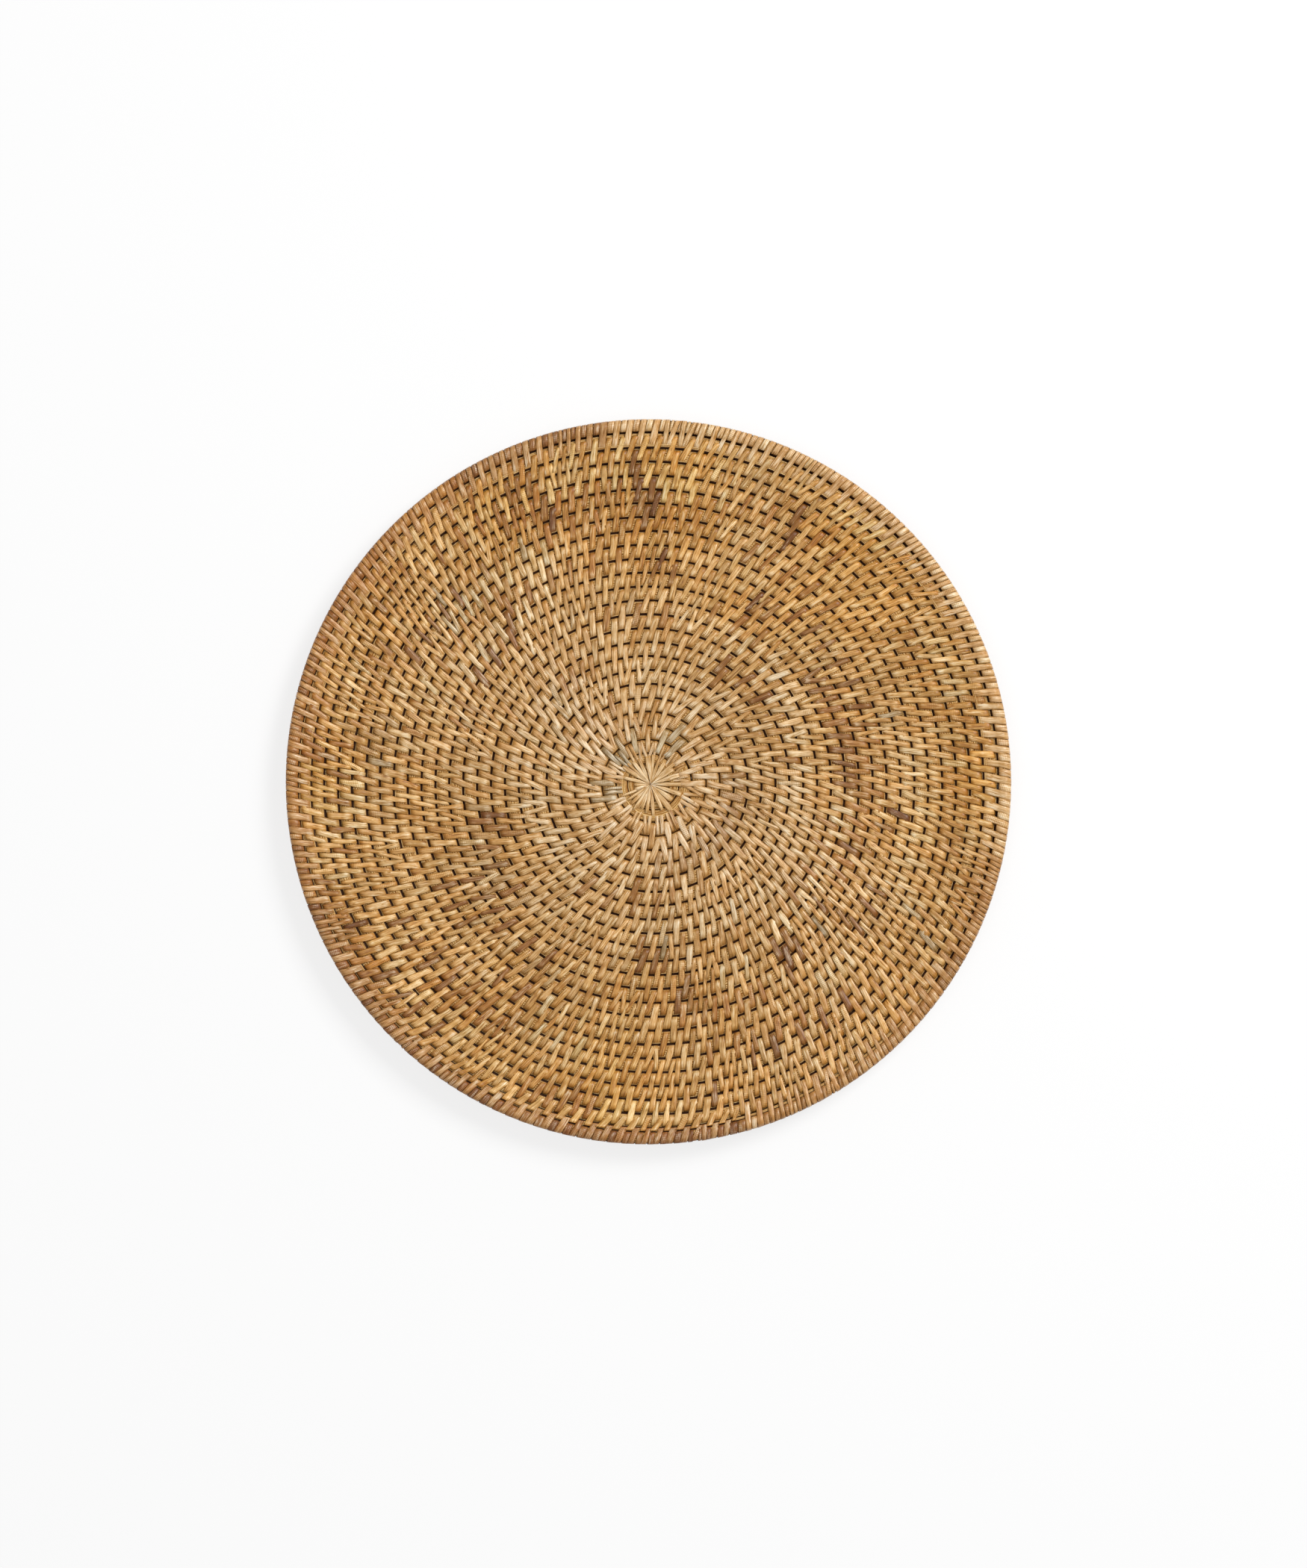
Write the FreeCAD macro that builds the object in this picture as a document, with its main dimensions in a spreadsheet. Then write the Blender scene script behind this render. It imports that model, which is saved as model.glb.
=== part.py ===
import FreeCAD, Part

import math
import os
import random

from FreeCAD import Placement, Rotation, Vector

# A round, shallow basket coiled from rattan. One long bundle of fine splints runs from a tight
# start at the middle out to the rim as a spiral, and narrow strips of rattan peel sew each turn
# to the turn inside it. A closed hoop goes round the outside, sewn on and lashed in the same way.
# Lengths are in millimetres, angles in degrees. The origin is under the middle of the rim hoop,
# on the surface that the basket rests on.

SIZES = (
    # alias, value, what it is
    ("bundle_radius", "3.1", "radius of the full bundle"),
    ("hoop_radius", "3.1", "radius of the rim hoop's own section"),
    ("coil_pitch", "7.7", "way along the dish from one turn of the bundle to the next"),
    ("full_turns", "22", "turns of the full bundle"),
    ("start_radius", "2.66", "radius at which the bundle starts, round the small hole in the middle"),
    ("start_pitch", "2.0", "pitch of the first turn, where the bundle is thin"),
    ("start_section", "0.6", "least radius of the bundle where it starts"),
    ("start_turns", "4", "turns over which the pitch grows to its full size"),
    ("spiral_shift_x", "1.15", "how far the spiral's middle lies beside the hoop's, along X"),
    ("spiral_shift_y", "-1.4", "how far the spiral's middle lies beside the hoop's, along Y"),
    ("flat_radius", "110", "radius of the flat bottom of the dish"),
    ("rise_radius", "326", "radius of the arc by which the side rises from the flat bottom"),
    ("rim_room", "0.15", "spare room between the last turn and the hoop where they are closest"),
    ("tail_sweep", "285", "angle over which the bundle's end thins out beside the hoop"),
    ("tail_room", "1.1", "room for the strips on each side of the thinning end"),
    ("tail_tip", "0.3", "least radius of the thinning end"),
    ("strip_width", "2.9", "width of a strip of peel"),
    ("strip_thickness", "0.4", "thickness of a strip of peel"),
    ("strip_slack", "0.2", "room between a bundle and the strip round it"),
    ("stitch_spacing", "7.1", "usual distance between stitches along a turn"),
    ("stitch_lean", "13", "lean of a stitch from the radial line"),
    ("fork_spread", "7", "extra lean each way where two stitches share one gap"),
    ("star_strips", "20", "strips of the star that starts the work"),
    ("star_eye", "1.9", "distance from the middle at which a star strip turns down"),
    ("star_eye_radius", "0.95", "radius of that turn"),
    ("lashing_width", "3.9", "way along the hoop that one loop of lashing takes"),
    ("lashing_gap", "0.2", "clear gap beside each loop of lashing"),
)

START_COIL_TURNS = 3  # turns that the star of strips covers
WIDE_GAP = (1.12, 1.28)  # how wide a gap one stitch may fill, as least and most shares of the spacing
FORK = ((1 / 3, 1), (2 / 3, -1))  # where two stitches share a gap, and which way each spreads
SINGLE = ((1 / 2, 0),)
STAR_REACH = 40  # more than a star strip's length
STRIP_FIT = 0.94  # share of the free room that a strip takes between its neighbours
STAR_GAP_ANGLE = 0.8  # clear angle on each side of a star strip near the middle
TAIL_SECTIONS = 20
SEED = 7
UP = Vector(0, 0, 1)

# Where along the rim each strip of the lashing starts, by angle, and the tone of that strip.
RIM_LASHINGS = (
    ("rim_lashing_straw", -12),
    ("rim_lashing_umber", 97),
    ("rim_lashing_orange", 122),
    ("rim_lashing_brown", 200),
    ("rim_lashing_tan", 285),
)

doc = FreeCAD.newDocument("CoiledBasket")
sheet = doc.addObject("Spreadsheet::Sheet", "Sizes")
for row, (alias, value, note) in enumerate(SIZES, start=1):
    sheet.set(f"A{row}", value)
    sheet.setAlias(f"A{row}", alias)
    sheet.set(f"B{row}", note)
doc.recompute()


def size(alias):
    """A driving size, read from the sheet."""
    return float(sheet.get(alias))


START_TURNS = int(size("start_turns"))
ALL_TURNS = START_TURNS + int(size("full_turns"))
SPIRAL_END = 2 * ALL_TURNS  # half turns from the start to where the bundle begins to thin out
TAIL_END = SPIRAL_END + size("tail_sweep") / 180
SPIRAL_MIDDLE = Vector(size("spiral_shift_x"), size("spiral_shift_y"), 0)


# The bundle's path. Every half turn is a semicircle between two seats on the dish, one on each
# side of the middle, so it is tangent to the half turns before and after it.

PITCH_GROWTH = "(Sizes.coil_pitch - Sizes.start_pitch) / Sizes.start_turns"
MID_HEIGHT_TEXT = "(Sizes.bundle_radius + Sizes.strip_slack + Sizes.strip_thickness)"


def seat_run(half_turns):
    """Expression for a seat's way from the middle, measured along the dish."""
    turns = half_turns / 2
    thin = min(turns, START_TURNS)
    full = turns - thin
    grown = f"{PITCH_GROWTH} * {thin * (thin - 1) / 2}"
    return f"(Sizes.start_radius + {thin} * Sizes.start_pitch + {grown} + {full} * Sizes.coil_pitch)"


def seat_out(run):
    """Expression for the distance from the dish's axis at this way along the dish."""
    angle = f"({run} - Sizes.flat_radius) / Sizes.rise_radius * 1 rad"
    risen = f"Sizes.flat_radius + Sizes.rise_radius * sin({angle})"
    return f"({run} > Sizes.flat_radius ? {risen} : {run})"


def seat_up(run):
    """Expression for the height above the flat bottom at this way along the dish."""
    angle = f"({run} - Sizes.flat_radius) / Sizes.rise_radius * 1 rad"
    return f"({run} > Sizes.flat_radius ? Sizes.rise_radius * (1 - cos({angle})) : 0)"


def section_radius(half_turns):
    """Expression for the bundle's radius along this half turn, which keeps the gap beside it."""
    turns = half_turns / 2
    if turns > START_TURNS:
        return "Sizes.bundle_radius"
    pitch = f"(Sizes.start_pitch + {PITCH_GROWTH} * ({turns} - 0.5))"
    gap = "(Sizes.coil_pitch - 2 * Sizes.bundle_radius)"
    return f"max(Sizes.start_section; ({pitch} - {gap}) / 2)"


def add_half_turn(number):
    """One semicircular length of the bundle, on the +Y side for even numbers, else on the -Y side."""
    near, far = seat_run(number), seat_run(number + 1)
    out_near, out_far = seat_out(near), seat_out(far)
    up_near, up_far = seat_up(near), seat_up(far)
    side = 1 if number % 2 == 0 else -1
    tilt = f"atan(({up_far} - {up_near}) / ({out_near} + {out_far})) * {side}"
    facing = "rotation(vector(0; 0; 1); 180)" if side < 0 else "rotation(vector(0; 0; 1); 0)"
    middle = (
        f"vector(Sizes.spiral_shift_x + {side} * ({out_near} - {out_far}) / 2;"
        f" Sizes.spiral_shift_y; {MID_HEIGHT_TEXT} + ({up_near} + {up_far}) / 2)"
    )
    span = f"pow({out_near} + {out_far}; 2) + pow({up_far} - {up_near}; 2)"
    torus = doc.addObject("Part::Torus", f"half_turn_{number:02d}")
    torus.Angle3 = 180
    torus.setExpression("Radius1", f"sqrt({span}) / 2")
    torus.setExpression("Radius2", section_radius(number))
    torus.setExpression(
        "Placement", f"placement({middle}; rotation(vector(0; 1; 0); {tilt}) * {facing})"
    )
    return torus


half_turns = [add_half_turn(number) for number in range(SPIRAL_END)]
hoop_run = f"({seat_run(SPIRAL_END)} + Sizes.coil_pitch)"
hoop = doc.addObject("Part::Torus", "rim_hoop")
hoop.setExpression("Radius1", f"{seat_out(hoop_run)} + abs(Sizes.spiral_shift_x) + Sizes.rim_room")
hoop.setExpression("Radius2", "Sizes.hoop_radius")
hoop.setExpression("Placement.Base.z", f"{MID_HEIGHT_TEXT} + {seat_up(hoop_run)}")
doc.recompute()


def join_turns(name, first, last):
    """Half turns first to last, as one length of bundle."""
    length = doc.addObject("Part::MultiFuse", name)
    length.Shapes = half_turns[first : last + 1]
    return length


pieces = [join_turns("start_coil", 0, 2 * START_COIL_TURNS - 1)]
for turn in range(START_COIL_TURNS, ALL_TURNS):
    name = f"foundation_turn_{turn - START_COIL_TURNS + 1:02d}"
    pieces.append(join_turns(name, 2 * turn, 2 * turn + 1))
pieces.append(hoop)
doc.recompute()


# Cores: the bundle or hoop as it is met at one place, by its centre and its radius there.


def spiral_core(way):
    """The bundle at this way along the spiral, counted in half turns from its start."""
    torus = half_turns[min(int(way), SPIRAL_END - 1)]
    angle = (way - int(way)) * math.pi if way < SPIRAL_END else math.pi
    reach = torus.Radius1.Value
    local = Vector(reach * math.cos(angle), reach * math.sin(angle), 0)
    return torus.Placement.multVec(local), torus.Radius2.Value


def hoop_core(angle):
    """The hoop at this angle round its own middle, in radians."""
    reach = hoop.Radius1.Value
    height = hoop.Placement.Base.z
    centre = Vector(reach * math.cos(angle), reach * math.sin(angle), height)
    return centre, hoop.Radius2.Value


def hoop_in_line(way):
    """The hoop's core in line with the spiral's middle and the bundle at this way."""
    angle = way * math.pi
    ray = Vector(math.cos(angle), math.sin(angle), 0)
    along = SPIRAL_MIDDLE.dot(ray)
    reach = hoop.Radius1.Value
    distance = math.sqrt(along**2 - SPIRAL_MIDDLE.Length**2 + reach**2) - along
    point = SPIRAL_MIDDLE + ray * distance
    return hoop_core(math.atan2(point.y, point.x))


def tail_core(way):
    """The thinning end of the bundle, which lies midway between the last turn and the hoop."""
    inner, inner_radius = spiral_core(way - 2)
    outer, outer_radius = hoop_in_line(way)
    across = outer - inner
    room = across.Length - inner_radius - outer_radius - 2 * size("tail_room")
    radius = max(min(room / 2, size("bundle_radius")), size("tail_tip"))
    inside = inner_radius + (across.Length - inner_radius - outer_radius) / 2
    return inner + across.normalize() * inside, radius


def core(way):
    """The bundle at any way along it, its thinning end included."""
    return tail_core(way) if way > SPIRAL_END else spiral_core(way)


def tail_section(way):
    """The outline of the thinning end at one place, square to its run."""
    centre, radius = tail_core(way)
    along = Vector(-math.sin(way * math.pi), math.cos(way * math.pi), 0)
    return Part.Wire(Part.Circle(centre, along, radius).toShape())


def add_feature(name, shape):
    """A sub-part whose shape is worked out above, in place."""
    feature = doc.addObject("Part::Feature", name)
    feature.Shape = shape
    feature.Placement = Placement()
    pieces.append(feature)
    return feature


tail_ways = [
    SPIRAL_END + (TAIL_END - SPIRAL_END) * step / TAIL_SECTIONS for step in range(TAIL_SECTIONS + 1)
]
add_feature("foundation_tail", Part.makeLoft([tail_section(way) for way in tail_ways], True))


# Strips. Each stitch is a flat strip pulled round two neighbouring cores. Its edges lean, and where
# it turns down it lies along the core, so it is an oblique prism.


def ring_face(outline):
    """The strip's own section: the face between its outer and inner outlines."""
    wires = [outline(size("strip_thickness")), outline(0)]
    return Part.makeFace(wires, "Part::FaceMakerBullseye")


def draw_along(face, across, along, width):
    """The strip of this width whose section is the face, drawn along the core."""
    length = width / abs(along.dot(across))
    face.translate(along * (-length / 2))
    return face.extrude(along * length)


def belt(outer, inner, along, width):
    """A closed strip round two cores, each given as its centre and the strip's inner radius."""
    start, start_radius = outer
    end, end_radius = inner
    inward = end - start
    distance = inward.Length
    inward = inward / distance
    across = UP.cross(inward).normalize()
    lift = inward.cross(across)
    slant = (start_radius - end_radius) / distance
    rise = math.sqrt(1 - slant**2)
    over = lift * rise + inward * slant
    under = inward * slant - lift * rise

    def outline(extra):
        near, far = start_radius + extra, end_radius + extra
        low_start, high_start = start + under * near, start + over * near
        low_end, high_end = end + under * far, end + over * far
        round_start = Part.Arc(low_start, start - inward * near, high_start)
        round_end = Part.Arc(high_end, end + inward * far, low_end)
        top = Part.LineSegment(high_start, high_end)
        bottom = Part.LineSegment(low_end, low_start)
        return Part.Wire([edge.toShape() for edge in (round_start, top, round_end, bottom)])

    return draw_along(ring_face(outline), across, along, width)


def loop(around, along, lean, width):
    """A closed strip round one core, its edges leaning by this angle in radians."""
    centre, radius = around
    inward = UP.cross(along) * math.cos(lean) + along * math.sin(lean)
    across = UP.cross(inward).normalize()

    def outline(extra):
        return Part.Wire(Part.Circle(centre, across, radius + extra).toShape())

    return draw_along(ring_face(outline), across, along, width)


def with_slack(at):
    """A core with the room round it that a strip leaves."""
    centre, radius = at
    return centre, radius + size("strip_slack")


def run_at(point, middle):
    """The way that a turn runs past this point, level and anticlockwise round the middle."""
    out = point - middle
    return UP.cross(Vector(out.x, out.y, 0)).normalize()


def out_from_middle(way):
    """Distance of the bundle from the spiral's middle."""
    offset = core(way)[0] - SPIRAL_MIDDLE
    return math.hypot(offset.x, offset.y)


STAR_WAY = 2 * START_COIL_TURNS
LEAN_SHIFT = size("coil_pitch") * math.tan(math.radians(size("stitch_lean")))
FORK_SHIFT = size("coil_pitch") * math.tan(math.radians(size("fork_spread")))
LEAN_COSINE = math.cos(math.radians(size("stitch_lean")))


def lay_stitches():
    """Where each stitch holds the bundle, and where each rim stitch does.

    A stitch is its way at the outer end, its way at the inner end and the shift of its inner end
    along the turn. Each goes down in the gap between two stitches of the turn below. Where a gap
    has grown too wide for one stitch, two go down in it and spread apart outwards.
    """
    dice = random.Random(SEED)
    count = int(size("star_strips"))
    ends = [STAR_WAY + 2 * number / count for number in range(count)]
    stitches = [(way, None, 0) for way in ends]
    rim = []
    reading = 0
    while ends[reading] < TAIL_END and reading + 1 < len(ends):
        first, second = ends[reading], ends[reading + 1]
        reading += 1
        half_turn_length = math.pi * out_from_middle((first + second) / 2)
        gap = (second - first) * half_turn_length
        fork = gap > size("stitch_spacing") * dice.uniform(*WIDE_GAP)
        early = min(1, (first / 2 - START_COIL_TURNS) / START_TURNS)
        for share, spread in FORK if fork else SINGLE:
            inner = first + (second - first) * share
            shift = LEAN_SHIFT * early + FORK_SHIFT * spread
            if inner >= TAIL_END - 2:
                rim.append((None, inner, shift))
                continue
            outer = inner + 2 - shift / half_turn_length
            ends.append(outer)
            stitches.append((outer, inner, shift))
    return stitches, rim


def strip_widths(laid):
    """The width of each stitch's strip: the full width, or less where its neighbours are near."""
    marks = []
    for index, (outer, inner, _) in enumerate(laid):
        marks += [(way, index) for way in (outer, inner) if way is not None]
    marks.sort()
    widths = [size("strip_width")] * len(laid)
    wrap = size("strip_slack") + size("strip_thickness")
    for (way, index), (next_way, next_index) in zip(marks, marks[1:]):
        inner_edge = out_from_middle(way) - core(way)[1] - wrap
        room = (next_way - way) * math.pi * inner_edge * LEAN_COSINE * STRIP_FIT
        widths[index] = min(widths[index], room)
        widths[next_index] = min(widths[next_index], room)
    return widths


def star_strip(way, width):
    """One strip of the star, from the hole in the middle out over the first turns."""
    outer = with_slack(core(way))
    ray = (outer[0] - SPIRAL_MIDDLE - UP * outer[0].z).normalize()
    hub = SPIRAL_MIDDLE + UP * outer[0].z
    inner = (hub + ray * size("star_eye"), size("star_eye_radius"))
    strip = belt(outer, inner, UP.cross(ray), width)
    half_angle = 180 / int(size("star_strips")) - STAR_GAP_ANGLE
    sides = [Rotation(UP, angle).multVec(ray * STAR_REACH) for angle in (-half_angle, half_angle)]
    floor = hub - UP * STAR_REACH
    corners = [floor, floor + sides[0], floor + sides[1], floor]
    wedge = Part.Face(Part.makePolygon(corners)).extrude(UP * 2 * STAR_REACH)
    return strip.common(wedge).Solids[0]


def spiral_stitch(stitch, width):
    """One stitch round a turn of the bundle and the turn inside it."""
    outer_way, inner_way, shift = stitch
    outer, inner = core(outer_way), core(inner_way)
    along = run_at((outer[0] + inner[0]) / 2, SPIRAL_MIDDLE)
    return belt(with_slack(outer), with_slack(inner), along, width)


def rim_stitch(stitch, width):
    """One stitch round the hoop and the bundle inside it, and its angle round the hoop."""
    inner = core(stitch[1])
    angle = math.atan2(inner[0].y, inner[0].x) - stitch[2] / hoop.Radius1.Value
    outer = hoop_core(angle)
    along = run_at((outer[0] + inner[0]) / 2, Vector(0, 0, 0))
    return belt(with_slack(outer), with_slack(inner), along, width), angle % (2 * math.pi)


stitches, rim_stitches = lay_stitches()
widths = strip_widths(stitches + rim_stitches)
rows = {}
for stitch, width in zip(stitches, widths):
    turn = int(stitch[0] / 2)
    if stitch[1] is None:
        rows.setdefault("star_strips", []).append(star_strip(stitch[0], width))
    elif turn < ALL_TURNS:
        name = f"stitches_turn_{turn - START_COIL_TURNS + 1:02d}"
        rows.setdefault(name, []).append(spiral_stitch(stitch, width))
    else:
        rows.setdefault("stitches_tail", []).append(spiral_stitch(stitch, width))

rim_angles = []
for stitch, width in zip(rim_stitches, widths[len(stitches) :]):
    strip, angle = rim_stitch(stitch, width)
    rows.setdefault("stitches_rim", []).append(strip)
    rim_angles.append((angle, width))


def lash_rim():
    """The loops round the hoop alone, which fill each gap between two rim stitches."""
    reach = hoop.Radius1.Value
    lean = math.radians(size("stitch_lean"))
    rim_angles.sort()
    after = rim_angles[1:] + [(rim_angles[0][0] + 2 * math.pi, rim_angles[0][1])]
    for (angle, width), (next_angle, next_width) in zip(rim_angles, after):
        taken = (width + next_width) / 2 / math.cos(lean)
        free = (next_angle - angle) * reach - taken
        count = max(1, round(free / size("lashing_width")))
        each = (free / count - size("lashing_gap")) * math.cos(lean)
        if each < size("lashing_gap"):
            continue
        for number in range(count):
            place = angle + (width / 2 / math.cos(lean) + free * (number + 0.5) / count) / reach
            around = with_slack(hoop_core(place))
            along = run_at(around[0], Vector(0, 0, 0))
            degrees = (math.degrees(place) - RIM_LASHINGS[0][1]) % 360 + RIM_LASHINGS[0][1]
            name = [strip for strip, begins in RIM_LASHINGS if degrees >= begins][-1]
            rows.setdefault(name, []).append(loop(around, along, lean, each))


lash_rim()
for name in sorted(rows):
    add_feature(name, Part.makeCompound(rows[name]))
doc.recompute()

for item in doc.Objects:
    if "Invalid" in item.State or "Error" in item.State:
        raise RuntimeError(f"{item.Label} failed to compute: {item.State}")

os.makedirs("parts", exist_ok=True)
for piece in pieces:
    if piece.Shape.isNull() or not piece.Shape.isValid() or not piece.Shape.Solids:
        raise RuntimeError(f"{piece.Label} has no valid solid")
    piece.Shape.exportStep(f"parts/{piece.Label}.step")
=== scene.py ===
import random
from functools import partial
from math import atan, atan2, cos, degrees, exp, hypot, pi, radians, sin, sqrt, tan

import bpy
import numpy as np
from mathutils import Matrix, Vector, noise


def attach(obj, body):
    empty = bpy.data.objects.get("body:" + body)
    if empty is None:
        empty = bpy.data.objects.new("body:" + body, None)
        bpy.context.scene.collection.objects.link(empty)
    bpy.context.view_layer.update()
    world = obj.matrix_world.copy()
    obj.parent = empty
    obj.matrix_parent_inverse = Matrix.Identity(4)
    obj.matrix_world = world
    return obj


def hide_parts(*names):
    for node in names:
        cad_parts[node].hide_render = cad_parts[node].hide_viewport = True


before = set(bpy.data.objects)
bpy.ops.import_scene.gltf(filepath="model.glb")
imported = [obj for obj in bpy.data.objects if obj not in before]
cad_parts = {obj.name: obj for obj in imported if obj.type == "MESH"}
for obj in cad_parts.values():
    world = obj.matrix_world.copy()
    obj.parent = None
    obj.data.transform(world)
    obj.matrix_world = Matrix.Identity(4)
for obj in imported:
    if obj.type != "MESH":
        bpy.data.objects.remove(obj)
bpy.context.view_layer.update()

# A round, shallow basket coiled from rattan, seen from above. A bundle of fine splints runs as a
# spiral from the middle to the rim, and narrow strips of peel sew each turn to the turn inside it.
# Sizes are in millimetres and become metres only where a mesh is made. The floor, the lights and
# the camera are in metres.

scene = bpy.context.scene
show = scene.collection.objects.link

MM = 0.001
UP = Vector((0, 0, 1))

# The basket's own sizes, the same as in the part's source.
BUNDLE_RADIUS = 3.1
HOOP_RADIUS = 3.1
COIL_PITCH = 7.7
START_RADIUS = 2.66
START_PITCH = 2.0
START_SECTION = 0.6
START_TURNS = 4
START_GROWTH = (COIL_PITCH - START_PITCH) / START_TURNS
FULL_TURNS = 22
SPIRAL_MIDDLE = Vector((1.15, -1.4, 0))
FLAT_RADIUS = 110
RISE_RADIUS = 326
RIM_ROOM = 0.15
TAIL_SWEEP = 285
TAIL_ROOM = 1.1
TAIL_TIP = 0.3
TAIL_LIFT = 0.75
LEAST_WIDTH = 1.9
MOST_WIDTH = 3.9
STRIP_THICKNESS = 0.4
STRIP_SLACK = 0.2
STITCH_SPACING = 7.1
STITCH_LEAN = 13
FORK_SPREAD = 7
STAR_STRIPS = 20
STAR_EYE = 1.9
STAR_EYE_RADIUS = 0.95
LASHING_WIDTH = 3.9
LASHING_GAP = 0.2
START_COIL_TURNS = 3
WIDE_GAP = (1.12, 1.28)  # a gap so many spacings wide takes two stitches
FORK = ((1 / 3, 1), (2 / 3, -1))  # place in the gap, and to which side the stitch is spread
SINGLE = ((1 / 2, 0),)
STRIP_FIT = 1.03  # strips lie this much closer than side by side
LAYING_SEED = 7
SQUARENESS = 0.8  # below 1 the coils are a little squarer than round, flatter on top
BUNDLE_SWELL = 1.03
BUMPS_ROUND = 7  # ridges that the splints below raise in a strip, all round a coil
FULL_HEIGHT = 3.7  # a strip's height above the middle of a full coil
STANDING = (-1000, -1000, 0.02)  # nothing lies lower than this

ALL_TURNS = START_TURNS + FULL_TURNS
SPIRAL_END = 2 * ALL_TURNS
TAIL_END = SPIRAL_END + TAIL_SWEEP / 180
MID_HEIGHT = BUNDLE_RADIUS + STRIP_SLACK + STRIP_THICKNESS
STAR_WAY = 2 * START_COIL_TURNS
LEAN = radians(STITCH_LEAN)
LEAN_SHIFT = COIL_PITCH * tan(LEAN)
FORK_SHIFT = COIL_PITCH * tan(radians(FORK_SPREAD))
LEAN_COSINE = cos(LEAN)


# The bundle's path.


def seat_run(half_turns):
    """A seat's way from the middle, measured along the dish."""
    turns = half_turns / 2
    thin = min(turns, START_TURNS)
    grown = START_GROWTH * thin * (thin - 1) / 2
    return START_RADIUS + thin * START_PITCH + grown + (turns - thin) * COIL_PITCH


def seat_out(run):
    """Distance from the dish's axis at this way along the dish."""
    if run <= FLAT_RADIUS:
        return run
    return FLAT_RADIUS + RISE_RADIUS * sin((run - FLAT_RADIUS) / RISE_RADIUS)


def seat_up(run):
    """Height above the flat bottom at this way along the dish."""
    if run <= FLAT_RADIUS:
        return 0
    return RISE_RADIUS * (1 - cos((run - FLAT_RADIUS) / RISE_RADIUS))


def section_radius(half_turns):
    """The bundle's radius along this half turn, which keeps the gap beside it."""
    turns = half_turns / 2
    if turns > START_TURNS:
        return BUNDLE_RADIUS
    gap = COIL_PITCH - 2 * BUNDLE_RADIUS
    return max(START_SECTION, (START_PITCH + START_GROWTH * (turns - 0.5) - gap) / 2)


def half_turn(number):
    """Middle, radius, tilt, side and section radius of one semicircle of the path."""
    near, far = seat_run(number), seat_run(number + 1)
    out_near, out_far = seat_out(near), seat_out(far)
    up_near, up_far = seat_up(near), seat_up(far)
    side = 1 if number % 2 == 0 else -1
    tilt = atan((up_far - up_near) / (out_near + out_far)) * side
    height = MID_HEIGHT + (up_near + up_far) / 2
    middle = SPIRAL_MIDDLE + Vector((side * (out_near - out_far) / 2, 0, height))
    reach = hypot(out_near + out_far, up_far - up_near) / 2
    return middle, reach, tilt, side, section_radius(number)


HALF_TURNS = [half_turn(number) for number in range(SPIRAL_END)]
HOOP_RUN = seat_run(SPIRAL_END) + COIL_PITCH
HOOP_REACH = seat_out(HOOP_RUN) + abs(SPIRAL_MIDDLE.x) + RIM_ROOM
HOOP_HEIGHT = MID_HEIGHT + seat_up(HOOP_RUN)


def spiral_core(way):
    """The bundle's centre and radius at this way, counted in half turns from its start."""
    number = min(int(way), SPIRAL_END - 1)
    middle, reach, tilt, side, radius = HALF_TURNS[number]
    # The bundle grows thicker evenly, not by steps.
    radius += (section_radius(number + 1) - radius) * (way - number)
    angle = (way - int(way)) * pi if way < SPIRAL_END else pi
    out = side * reach * cos(angle)
    place = Vector((out * cos(tilt), side * reach * sin(angle), -out * sin(tilt)))
    return middle + place, radius


def hoop_core(angle):
    """The hoop's centre and radius at this angle round its own middle."""
    reach = Vector((cos(angle), sin(angle), 0)) * HOOP_REACH
    return reach + UP * HOOP_HEIGHT, HOOP_RADIUS


def hoop_in_line(way):
    """The hoop's core in line with the spiral's middle and the bundle at this way."""
    ray = Vector((cos(way * pi), sin(way * pi), 0))
    along = SPIRAL_MIDDLE.dot(ray)
    distance = sqrt(along**2 - SPIRAL_MIDDLE.length_squared + HOOP_REACH**2) - along
    point = SPIRAL_MIDDLE + ray * distance
    return hoop_core(atan2(point.y, point.x))


def tail_core(way):
    """The thinning end of the bundle, midway between the last turn and the hoop."""
    inner, inner_radius = spiral_core(way - 2)
    outer, outer_radius = hoop_in_line(way)
    across = outer - inner
    free = across.length - inner_radius - outer_radius
    radius = max(min(free / 2 - TAIL_ROOM, BUNDLE_RADIUS), TAIL_TIP)
    # As it thins the tail lies higher, so that its top stays level with its neighbours.
    lifted = UP * (BUNDLE_RADIUS - radius) * TAIL_LIFT
    return inner + across.normalized() * (inner_radius + free / 2) + lifted, radius


def core(way):
    """The bundle at any way along it, its thinning end included."""
    return tail_core(way) if way > SPIRAL_END else spiral_core(way)


def run_at(point, middle):
    """The way that a turn runs past this point, level and anticlockwise round the middle."""
    out = point - middle
    return UP.cross(Vector((out.x, out.y, 0))).normalized()


def out_from_middle(way):
    """Distance of the bundle from the spiral's middle."""
    offset = core(way)[0] - SPIRAL_MIDDLE
    return hypot(offset.x, offset.y)


# Where the stitches go, by the rule of the work itself: each goes down in the gap between two
# stitches of the turn below, and two go down in one gap where the turn has grown too long.


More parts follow.
